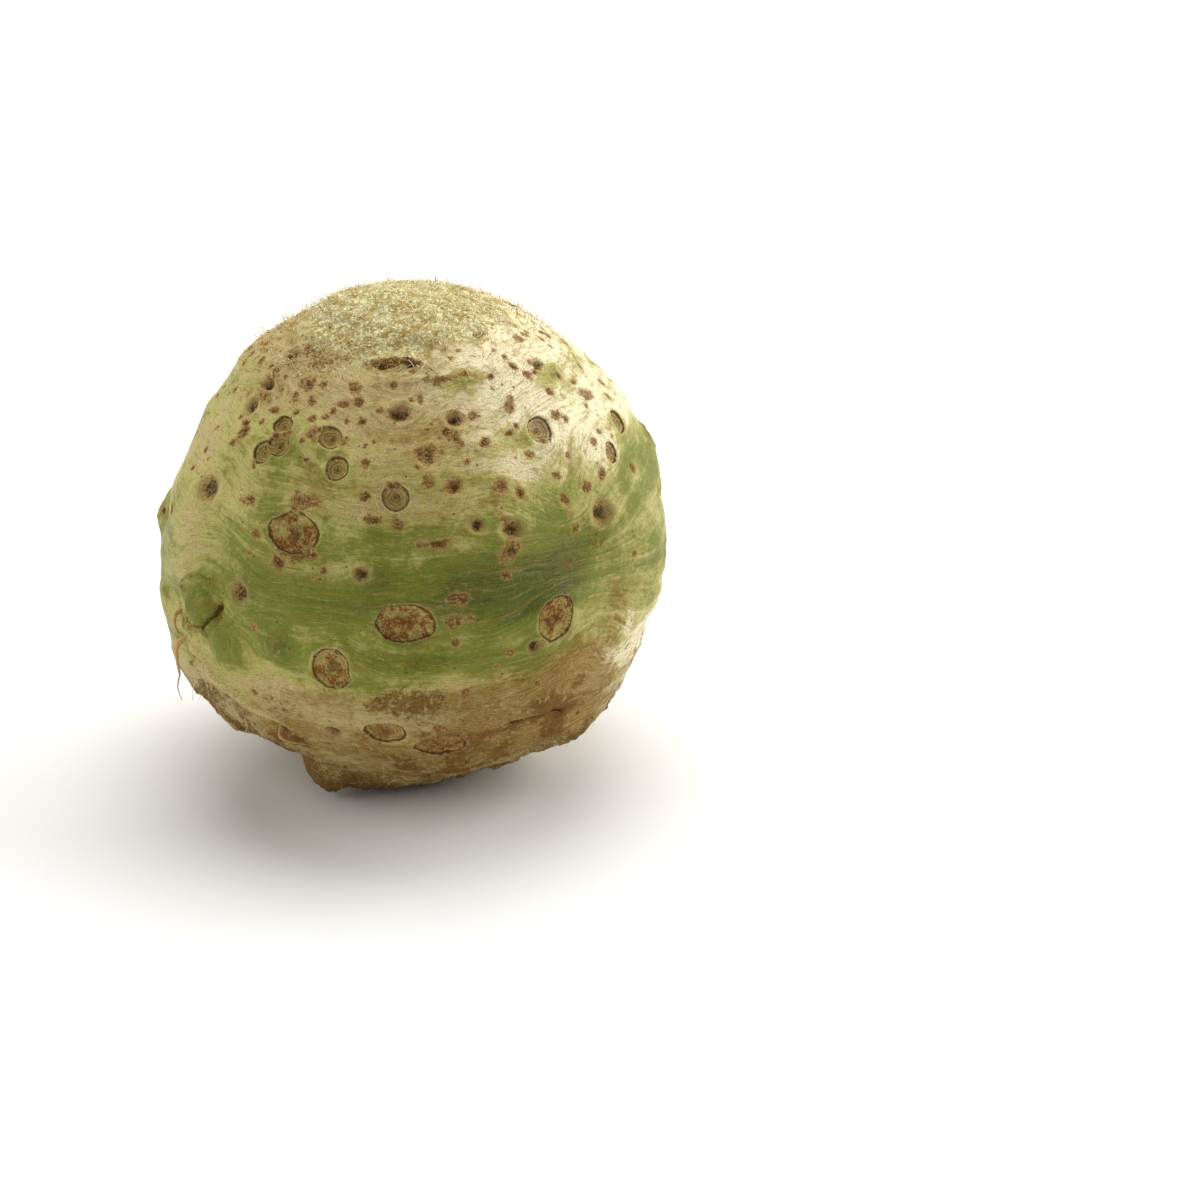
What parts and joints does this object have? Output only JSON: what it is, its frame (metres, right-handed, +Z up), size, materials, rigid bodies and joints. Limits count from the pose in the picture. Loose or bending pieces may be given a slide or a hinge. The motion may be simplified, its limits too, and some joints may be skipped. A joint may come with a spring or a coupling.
{
  "type": "celeriac root",
  "caption": "Whole celeriac: a nearly round, knobbly root with a cropped leaf crown, ringed root scars, trimmed stubs and thin rootlets, standing on a small flat cut.",
  "frame": {"origin": "middle of the small flat cut that the root stands on", "axes": "+Z up from the flat cut to the leaf crown, -Y towards the front that was pictured, +X to the viewer's right"},
  "size_m": [0.127, 0.1225, 0.1229],
  "materials": {
    "root_skin": "matte to satin vegetable skin, cream to green, with rust-brown corky scars"
  },
  "bodies": {
    "root": {"celeriac_root": "root_skin"}
  },
  "joints": []
}
